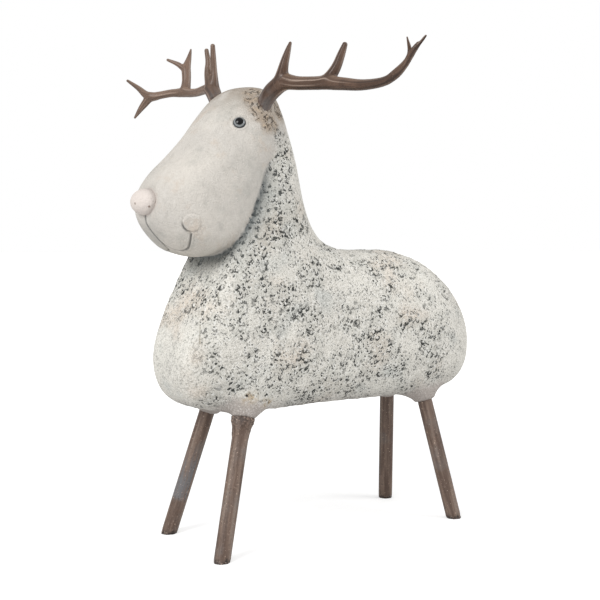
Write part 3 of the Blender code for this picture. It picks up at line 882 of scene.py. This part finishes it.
def casting_material():
    material, graph, shader, place = new_material("casting_wash", 0.8)
    face, scar, under_head = (graph.attribute(name) for name in ("face", "scar", "under_head"))
    marks, buttons, highlight_lips, patch = pit_marks(graph, place, graph.attribute("pitting"))
    # Off-white wash with stains, and the plainer skin of the face
    base = graph.mix(graph.noise_step(place, 14, 3, 0.35, 0.65), WASH_LIGHT, WASH_DARK)
    base = graph.coats(base, [(graph.noise_step(place, 23, 2, 0.52, 0.72), 0.5, BEIGE_STAIN),
                              (graph.noise_step(place, 31, 3, 0.56, 0.74), 0.5, GREY_STAIN)])
    brushed = graph.noise(graph.vector('MULTIPLY', place, (1, 1.2, 0.7)), 230, 5, 0.75)
    skin = graph.mix(graph.noise_step(place, 17, 3, 0.3, 0.7), SKIN_LIGHT, SKIN_DARK)
    skin = graph.coats(skin, [(graph.noise_step(place, 42, 4, 0.48, 0.72, 0.65), 0.55, SKIN_GREY),
                              (graph.noise_step(place, 55, 4, 0.54, 0.72, 0.65), 0.4, SKIN_BEIGE),
                              (graph.step(brushed, 0.5, 0.7), 0.28, BRUSH_DARK),
                              (graph.step(brushed, 0.48, 0.3), 0.28, BRUSH_LIGHT)])
    skin = graph.mix(graph.attribute("nose"), skin, NOSE_PINK)
    base = graph.mix(face, base, skin)
    # Stained crown, and rubbed brown patches with dark scratches round the antlers
    stain = graph.times(graph.attribute("crown"), graph.noise_step(place, 36, 4, 0.25, 0.6, 0.6))
    rough = graph.noise(place, 170, 4, 0.7)
    rubbed = graph.times(graph.step(scar, 0.1, 0.7), graph.step(rough, 0.30, 0.55))
    bent = wobbled(graph, place, 260, 4)
    down, _ = stroke_marks(graph, bent, 1.7, 0.7, 0.75, 5, SCRATCH_DOWN, 5.0)
    forward, _ = stroke_marks(graph, bent, 1.8, 0.66, 0.65, 6, SCRATCH_FORWARD, 4.0)
    scratches = graph.times(graph.most(down, forward), graph.step(scar, 0.3, 0.8))
    base = graph.coats(base, [
        # The leg socket skirts under the belly, darkened as painted shade and dirt
        ("socket", 0.8, SOCKET_SHADE_AND_DIRT),
        (stain, 0.9, CROWN_STAIN),
        (rubbed, 0.75, SCAR_BROWN),
        (graph.times(rubbed, graph.step(rough, 0.55, 0.68)), 0.8, SCAR_PALE),
        (scratches, 0.85, SCRATCH)])
    # Grain all over, fainter on the face
    grain = graph.noise(place, 800, 2, 0.6)
    dark_grain = graph.times(graph.step(grain, 0.49, 0.68), graph.less(0.48, graph.times(face, 0.40)))
    pale_grain = graph.times(graph.step(grain, 0.48, 0.32), graph.less(0.6, graph.times(face, 0.5)))
    base = graph.mix(dark_grain, base, GRAIN_DARK)
    base = graph.mix(pale_grain, base, GRAIN_PALE)
    # Pressed marks: pale buttons of whitewash that also stand in for a painted highlight, painted highlights
    # on the lower lips of the strokes, and the marks filled with dark wash
    base = graph.coats(base, [(patch, 0.28, PATCH_WASH), (graph.most(buttons, highlight_lips), 0.7, PALE_WASH_AND_HIGHLIGHT)])
    dark = graph.mix(graph.noise(place, 200, 1), PIT_GREY, PIT_BLACK)
    share = graph.less(graph.plus(0.75, graph.times(patch, 0.25)), graph.times(under_head, 0.25))
    base = graph.mix(graph.times(marks, share), base, dark)
    # Painted shade under the head; painted shade and grime in the crease and low on the trunk; dark carved
    # lines with painted shadow in the lower cheek rims; painted shade round the foot of the nose
    # Dark carved mouth lines, with painted shadow in the lower arcs of the cheek rims
    lines = graph.most(graph.attribute("mouth"), graph.attribute("cheek_rim_shadow"))
    rust = graph.times(graph.attribute("rust"), graph.noise_step(place, 260, 3, 0.4, 0.6, 0.6))
    base = graph.coats(base, [
        (under_head, 0.8, HEAD_SHADE),
        ("crease", 0.9, CREASE_SHADE_AND_GRIME),
        ("low", 0.6, LOW_SHADE_AND_GRIME),
        (lines, 0.9, CARVED_LINE),
        ("nose_rim_shade", 0.35, NOSE_CREVICE_SHADE),
        (rust, 0.8, RUST)])
    base = graph.mix(graph.step(graph.attribute("damage"), 0.25, 0.7), base, HOLE)
    base = graph.coats(base, [("dots", 0.8, SPECK)])
    graph.feed(shader.inputs["Base Color"], base)
    height = graph.less(graph.less(graph.times(grain, 0.5), marks), scratches)
    graph.bump(shader, graph.plus(height, graph.times(buttons, 0.5)), 1.5, 1.0)
    return material


def grain_grid(graph, stretch):
    """Coordinates round and along a branch or rod, from what its corners carry."""
    along = graph.times(graph.attribute("along"), stretch)
    return graph.node('ShaderNodeCombineXYZ', {0: graph.attribute("turn_x"), 1: graph.attribute("turn_y"),
                                               2: along}).outputs[0]


# Colours of the antlers, with painted highlights and painted shade
HORN_DARK, HORN_LIGHT = (78, 58, 46), (102, 79, 65)
HORN_RIDGE_HIGHLIGHT, HORN_GROOVE_SHADE = (170, 150, 136), (50, 36, 29)
HORN_TOP_HIGHLIGHT, HORN_FAR_HIGHLIGHT = (156, 132, 114), (178, 152, 134)
HORN_GREY, HORN_FLECK = (112, 108, 106), (44, 35, 30)


def antler_material():
    material, graph, shader, place = new_material("antler_brown", 0.36, 0.4)
    # Grooves and streaks that run along each branch, with a painted highlight on the ridges and painted shade
    # in the grooves
    groove = graph.noise(grain_grid(graph, 9), 1.9, 2.5, 0.5)
    fleck = graph.noise(place, 900, 2, 0.6)
    grey = graph.times(graph.attribute("foot"), graph.noise_step(place, 200, 3, 0.3, 0.6))
    base = graph.mix(graph.noise_step(place, 60, 3, 0.35, 0.7), HORN_DARK, HORN_LIGHT)
    base = graph.coats(base, [
        # Painted highlight on the ridges and painted shade in the grooves
        (graph.step(groove, 0.54, 0.70), 0.75, HORN_RIDGE_HIGHLIGHT),
        (graph.step(groove, 0.49, 0.35), 0.8, HORN_GROOVE_SHADE),
        # Painted highlight on the upward-facing surfaces
        (graph.step(graph.attribute("upward"), 0.3, 0.95), 0.4, HORN_TOP_HIGHLIGHT),
        # Painted highlight on the far antler, away from its foot
        ("pale", 0.22, HORN_FAR_HIGHLIGHT),
        (grey, 0.6, HORN_GREY),
        (graph.step(fleck, 0.58, 0.7), 0.5, HORN_FLECK)])
    graph.feed(shader.inputs["Base Color"], base)
    graph.bump(shader, graph.plus(groove, graph.times(fleck, 0.15)), 1.2, 0.5)
    return material


# Colours of the rods
ROD_DARK, ROD_LIGHT, ROD_STREAK = (92, 73, 62), (122, 102, 89), (142, 130, 120)
ROD_DULL, ROD_RUBBED = (116, 112, 110), (112, 113, 116)
ROD_FLECK, ROD_CHIP = (58, 46, 40), (196, 172, 156)
COLLAR_RUST, COLLAR_BARE = (56, 43, 36), (190, 166, 148)
FOOT_DARK, FOOT_CHIP = (38, 31, 28), (176, 156, 142)


def rod_material():
    material, graph, shader, place = new_material("rod_brown", 0.5)
    collar, foot = graph.attribute("collar"), graph.attribute("foot")
    streak = graph.noise(graph.vector('ADD', grain_grid(graph, 7), graph.scaled(place, 6)), 1.7, 4, 0.55)
    fleck = graph.noise(place, 650, 3, 0.65)
    base = graph.mix(graph.step(streak, 0.38, 0.6), ROD_DARK, ROD_LIGHT)
    base = graph.coats(base, [
        (graph.step(streak, 0.56, 0.7), 0.5, ROD_STREAK),
        (graph.noise_step(place, 45, 3, 0.5, 0.7), 0.45, ROD_DULL),
        (graph.times(graph.attribute("rubbed"), graph.step(streak, 0.62, 0.45)), 0.85, ROD_RUBBED),
        (graph.step(fleck, 0.58, 0.68), 0.6, ROD_FLECK),
        (graph.step(fleck, 0.37, 0.30), 0.85, ROD_CHIP),
        (graph.times(collar, graph.noise_step(place, 520, 3, 0.42, 0.56)), 0.8, COLLAR_RUST),
        (graph.times(collar, graph.noise_step(place, 900, 2, 0.60, 0.66)), 0.8, COLLAR_BARE),
        (foot, 0.85, FOOT_DARK),
        (graph.times(foot, graph.noise_step(place, 700, 2, 0.58, 0.64)), 0.7, FOOT_CHIP)])
    graph.feed(shader.inputs["Base Color"], base)
    graph.bump(shader, graph.plus(streak, graph.times(fleck, 0.8)), 0.7, 0.7)
    return material


PUPIL, IRIS, IRIS_RIM = (10, 10, 12), (138, 142, 143), (46, 50, 54)


def eye_material():
    material, graph, shader, _ = new_material("eye_bead", 0.12, 0.35)
    base = graph.mix(graph.attribute("iris"), PUPIL, IRIS)
    base = graph.mix(graph.attribute("outline"), base, IRIS_RIM)
    graph.feed(shader.inputs["Base Color"], base)
    return material


# The skin is divided where the marks are, then the marks are pressed into it
for limit in (0.3, 0.7):
    with_group(casting, relief_group(0, "probe"))
    mesh = casting.data
    probe = read_rows(mesh.attributes["probe"].data, "value", 1)[:, 0]
    a, b = edge_pairs(mesh).T
    marked = probe > limit
    wide = marked.copy()
    wide[a] |= marked[b]
    wide[b] |= marked[a]
    divided(mesh, wide)
    mesh.attributes.remove(mesh.attributes["probe"])
with_group(casting, relief_group(MARK_DEPTH))
dress(casting, casting_material())
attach(casting, "root")
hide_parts("body")


# Antlers
def antler_rows(points, side):
    return [(*(np.array([side * out, along, BELLY + up]) + SHIFT), radius)
            for out, along, up, radius in points]


WEB_REACH = 2.2
WEB_HEIGHT = 1.5


def width_near(places, path):
    """The radius of a branch at the point of its path nearest to each place."""
    _, run = line_distance(places, path[:, :3])
    lengths = np.append(0, np.cumsum(norm(np.diff(path[:, :3], axis=0), axis=1)))
    return np.interp(run, lengths, path[:, 3])


def smoothed_values(values, pairs, rounds):
    return smoothed(np.repeat(values[:, None], 3, axis=1), pairs, rounds, 1.0)[:, 0]


antler_look = antler_material()
for name, branches, side in (("antler_left", LEFT_ANTLER, 1), ("antler_right", RIGHT_ANTLER, -1)):
    beam = antler_rows(branches["beam"], side)
    start = np.array(beam[0][:3])
    inward = start - np.array(beam[1][:3])
    inward /= norm(inward)
    shells = [branch_skin(beam, (start + inward * 11, 5.8))]
    shells += [branch_skin(antler_rows(points, side)) for tine, points in branches.items()
               if tine != "beam"]
    antler = fused(name + "_horn", shells, ANTLER_VOXEL)
    places = read_places(antler.data)
    pairs = edge_pairs(antler.data)
    rows = {tine: smooth_path(antler_rows(points, side), 4) for tine, points in branches.items()}
    gaps = np.stack([line_distance(places, path[:, :3])[0] - width_near(places, path)
                     for path in rows.values()])
    gaps.sort(axis=0)
    web = np.exp(-gaps[1] / WEB_REACH)
    normals = read_normals(antler.data)
    raised = WEB_HEIGHT * smoothed_values(web, pairs, 20) * ease(-0.3, 0.3, normals[:, 2])
    places += normals * raised[:, None]
    places = smoothed(places, pairs, WEB_ROUNDS, ease(0.1, 0.5, web))
    places = smoothed(places, pairs, DETAIL_ROUNDS, 1.0)
    write_places(antler.data, places)
    normals = read_normals(antler.data)
    # Grooves: how far round its branch a place is, and how far along
    turn, along = np.zeros(len(places)), np.zeros(len(places))
    nearest = np.full(len(places), 1e9)
    for path in rows.values():
        distance, run = line_distance(places, path[:, :3])
        distance = distance - width_near(places, path)
        one, two = turned_to(path[-1, :3] - path[0, :3])
        closer = distance < nearest
        nearest = np.where(closer, distance, nearest)
        turn = np.where(closer, np.arctan2(normals @ one, normals @ two), turn)
        along = np.where(closer, run, along)
    foot_gap = norm(places - start, axis=1)
    # upward feeds a painted highlight on the tops of the branches
    store(antler.data, {
        "turn_x": np.cos(turn), "turn_y": np.sin(turn), "along": along * MM,
        "upward": normals[:, 2], "foot": ease(24, 8, foot_gap),
        # pale feeds a painted highlight on the far antler only
        "pale": ease(10, 40, foot_gap) * (name == "antler_right")})
    dress(antler, antler_look)
    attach(antler, "root")
    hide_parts(name)


# Rods, one with a ragged swelling where it leaves its socket
COLLARS = ("leg_front_left",)
COLLAR_SWELL = 2.6
rod_look = rod_material()
for name, (foot, lean, drop) in LEGS.items():
    end, direction = leg_line(foot, lean, drop)
    bottom = np.array([*foot, 0.0]) + SHIFT
    side, other = turned_to(direction)
    angle = 2 * np.pi * np.arange(48) / 48
    circle = np.outer(np.cos(angle), side) + np.outer(np.sin(angle), other)
    length = norm(end + direction * SOCKET_DEPTH - bottom)
    collar_top = norm(end - bottom)
    rings, swell = [], []
    for along in np.arange(0, length, 1.2):
        below = collar_top - along
        ragged = 1.6 * np.sin(4 * angle + 0.5 * along) + 1.2 * np.sin(9 * angle - 0.4 * along)
        rise = ease(15, -2, below + ragged) * (below > -0.6) * (name in COLLARS)
        swell.append(rise)
        rough = 0.45 * rise * np.sin(7 * angle + 1.9 * along) * np.sin(11 * angle - 1.3 * along)
        worn = -0.35 * ease(3.5, 0, along) * (1 + np.sin(6 * angle + along) * np.sin(13 * angle))
        radius = ROD_RADIUS + COLLAR_SWELL * rise + rough + worn
        ring = bottom + direction * along + circle * radius[:, None]
        if along == 0:
            ring = ring - direction * (ring[:, 2] / direction[2])[:, None]
        elif along < 4:
            ring = ring + direction * (np.maximum(0.3 + along * 0.25 - ring[:, 2], 0) / direction[2])[:, None]
        rings.append(ring)
    rings.append(bottom + direction * length + circle * ROD_RADIUS)
    swell.append(np.zeros(len(angle)))
    rod = add_piece(name + "_rod", mesh_of(name, [closed_rings(rings, bottom, bottom + direction * length)]))
    corners = read_places(rod.data)
    run = (corners - bottom) @ direction
    turn = np.append(np.tile(angle, len(rings)), [0, 0])
    ragged = 0.9 * np.sin(5 * turn) + 0.7 * np.sin(13 * turn)
    store(rod.data, {
        "collar": np.append(np.concatenate(swell), [0, 0]),
        "turn_x": np.cos(turn), "turn_y": np.sin(turn), "along": run * MM,
        "foot": ease(3.4, 1.4, corners[:, 2] + ragged),
        "rubbed": ease(27, 31, run) * ease(74, 52, run) * (name == "leg_front_right")})
    dress(rod, rod_look)
    rod.data.set_sharp_from_angle(angle=math.radians(50))
    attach(rod, "root")
    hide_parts(name)


# Eyes
eye_look = eye_material()
for label, (seat, facing) in zip(("left", "right"), eyes):
    centre = seat - facing * EYE_SINK
    bead = add_piece(f"eye_{label}_bead", mesh_of("bead", [ellipsoid(centre, (EYE_RADIUS,) * 3)]))
    outward = (read_places(bead.data) - centre) @ facing / EYE_RADIUS
    store(bead.data, {"iris": ease(0.84, 0.78, outward), "outline": ease(0.66, 0.60, outward)})
    dress(bead, eye_look)
    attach(bead, "root")
    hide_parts(f"eye_{label}")


# Floor, light and camera
FLOOR_REACH = 40
GLOW_NEAR, GLOW_ADDED = 0.5, 0.6
GLOW_START, GLOW_FULL = 0.35, 1.2


def floor_material():
    """Pale paper that fades to white away from the figurine."""
    material, graph, shader, place = new_material("floor_paper", 0.9)
    shader.inputs["Base Color"].default_value = (0.7, 0.7, 0.7, 1)
    shader.inputs["Emission Color"].default_value = (1, 1, 1, 1)
    seen = graph.node('ShaderNodeLightPath').outputs["Is Camera Ray"]
    away = graph.step(graph.vector('LENGTH', place), GLOW_START, GLOW_FULL)
    glow = graph.plus(GLOW_NEAR, graph.times(away, GLOW_ADDED))
    graph.feed(shader.inputs["Emission Strength"], graph.times(seen, glow))
    return material


floor_mesh = bpy.data.meshes.new("floor")
floor_mesh.from_pydata([(x * FLOOR_REACH, y * FLOOR_REACH, 0)
                        for x, y in ((-1, -1), (1, -1), (1, 1), (-1, 1))], [], [(0, 1, 2, 3)])
floor = add_piece("floor", floor_mesh)
floor_mesh.materials.append(floor_material())

BACKGROUND, FILL = 1.0, 0.58
world = bpy.data.worlds.new("studio")
bpy.context.scene.world = world
world.use_nodes = True
sky = Graph(world.node_tree)
seen = sky.node('ShaderNodeLightPath').outputs["Is Camera Ray"]
strength = sky.plus(FILL, sky.times(seen, BACKGROUND - FILL))
sky.feed(world.node_tree.nodes["Background"].inputs["Color"], (1, 1, 1, 1))
sky.feed(world.node_tree.nodes["Background"].inputs["Strength"], strength)
bpy.context.scene.view_settings.view_transform = 'Standard'


LAMP_SIZE = 0.8
LAMP_TARGET = (0, 0, 0.2)


def area_light(name, place, power):
    lamp = bpy.data.lights.new(name, 'AREA')
    lamp.shape = 'DISK'
    lamp.size = LAMP_SIZE
    lamp.energy = power
    holder = bpy.data.objects.new(name, lamp)
    bpy.context.scene.collection.objects.link(holder)
    holder.location = place
    holder.rotation_euler = (Vector(LAMP_TARGET) - Vector(place)).to_track_quat('-Z', 'Y').to_euler()


# The photograph's view: azimuth from straight behind along +Y, elevation, and focal length in pixels
VIEW_AZIMUTH, VIEW_ELEVATION = 56.8, 2.9
FOCAL_PIXELS, IMAGE_PIXELS = 1031, 600
CAMERA_PLACE = np.array([678.0, -456.5, 222.3]) + SHIFT

area_light("key", (0.45, -1.3, 0.95), 14)
area_light("side", (0.95, 1.0, 0.9), 8.7)

camera = bpy.data.cameras.new("camera")
camera.sensor_width = 36
camera.lens = camera.sensor_width * FOCAL_PIXELS / IMAGE_PIXELS
camera.clip_start = 0.01
camera_object = bpy.data.objects.new("camera", camera)
bpy.context.scene.collection.objects.link(camera_object)
camera_object.location = CAMERA_PLACE * MM
azimuth, elevation = math.radians(VIEW_AZIMUTH), math.radians(VIEW_ELEVATION)
look = Vector((-math.sin(azimuth) * math.cos(elevation), math.cos(azimuth) * math.cos(elevation),
               -math.sin(elevation)))
camera_object.rotation_euler = look.to_track_quat('-Z', 'Y').to_euler()
bpy.context.scene.camera = camera_object
